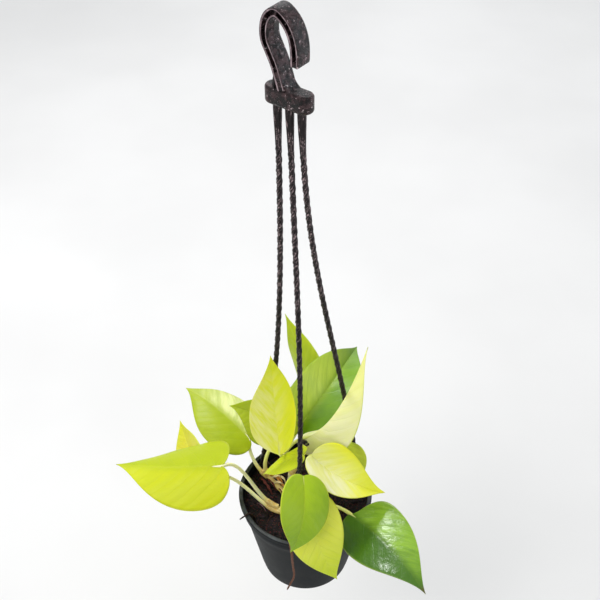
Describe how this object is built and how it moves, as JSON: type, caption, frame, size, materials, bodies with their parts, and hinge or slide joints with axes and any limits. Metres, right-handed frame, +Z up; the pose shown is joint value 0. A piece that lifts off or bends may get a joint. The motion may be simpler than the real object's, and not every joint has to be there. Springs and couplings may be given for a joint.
{
  "type": "hanging potted pothos plant",
  "caption": "Young golden-lime pothos in a small black nursery pot, hung by twisted plastic strands that run from the collar to a cross bar with an open hook.",
  "frame": {"origin": "inside top of the hook, where it hangs on its rail", "axes": "+Z up, away from the pot; -Y towards the front, where the lowest leaf hangs over the rim; +X to the right"},
  "size_m": [0.265, 0.242, 0.5558],
  "materials": {
    "pot_plastic": "satin charcoal moulded plastic",
    "hanger_plastic": "brown-black moulded plastic",
    "potting_mix": "dark reddish brown coir mix, matte",
    "stem": "pale yellow-green fleshy stem",
    "leaf_gold": "golden-lime blade with a waxy gloss",
    "leaf_lime": "lime green blade with a waxy gloss",
    "leaf_yellow": "yellow blade with pale cream patches, waxy gloss",
    "leaf_cream": "pale cream-yellow underside, satin",
    "leaf_green": "mid green blade with a yellow margin",
    "leaf_dark": "dark green blade, glossy",
    "root": "dry brown root and coir, matte"
  },
  "bodies": {
    "root": {"pot": "pot_plastic", "soil": "potting_mix", "hook": "hanger_plastic", "strand_front": "hanger_plastic", "strand_right": "hanger_plastic", "strand_left": "hanger_plastic", "stem_left": "stem", "stem_back_left": "stem", "stem_centre": "stem", "stem_back": "stem", "stem_right": "stem", "leaf_left_large": "leaf_gold", "leaf_left_back": "leaf_gold", "leaf_upper_left": "leaf_lime", "leaf_behind_centre": "leaf_green", "leaf_centre": "leaf_gold", "leaf_centre_small": "leaf_lime", "leaf_top_back": "leaf_lime", "leaf_back_dark": "leaf_dark", "leaf_right_pale": "leaf_cream", "leaf_right_yellow": "leaf_yellow", "leaf_right_back": "leaf_lime", "leaf_front_green": "leaf_green", "leaf_front_lime": "leaf_lime", "leaf_right_dark": "leaf_dark", "air_root": "root", "coir_scrap": "root"}
  },
  "joints": []
}
